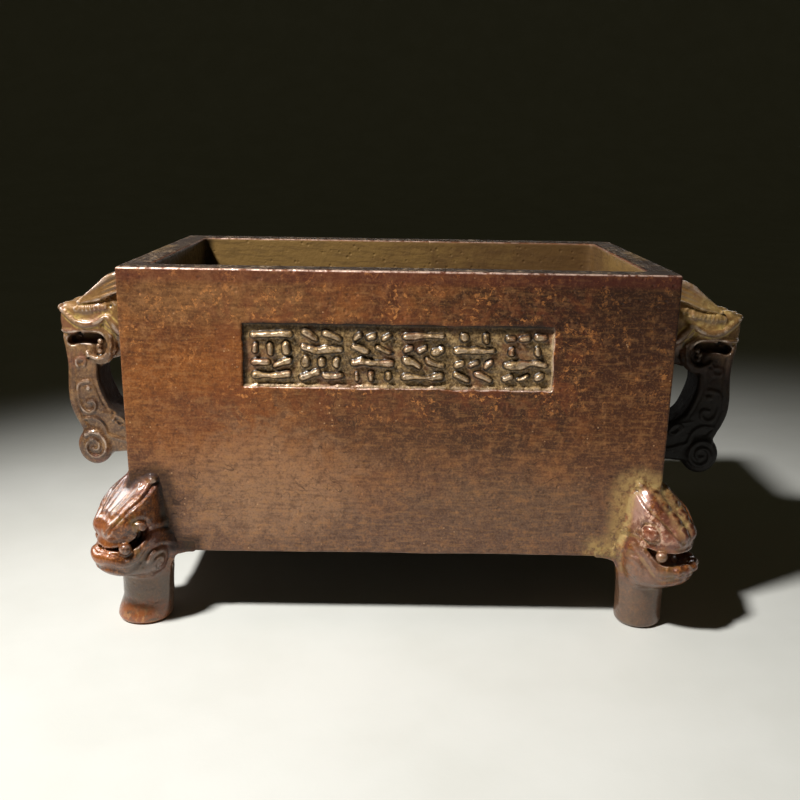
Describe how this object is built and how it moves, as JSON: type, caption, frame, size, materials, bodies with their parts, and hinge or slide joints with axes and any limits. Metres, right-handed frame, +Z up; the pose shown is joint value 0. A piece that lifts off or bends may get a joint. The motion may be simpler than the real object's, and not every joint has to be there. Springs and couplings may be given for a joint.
{
  "type": "incense burner",
  "caption": "Cast copper incense burner: an open rectangular trough on beast-mask feet, with beast-head loop handles and a sunk front panel.",
  "frame": {"origin": "on the ground under the middle of the trough", "axes": "+X along the trough towards its right handle as seen from the front, the panelled front faces -Y, +Z up"},
  "size_m": [0.2116, 0.1116, 0.102],
  "materials": {
    "copper": "reddish-brown patinated copper alloy, satin, rubbed bright on its edges"
  },
  "bodies": {
    "root": {"incense_burner": "copper"}
  },
  "joints": []
}
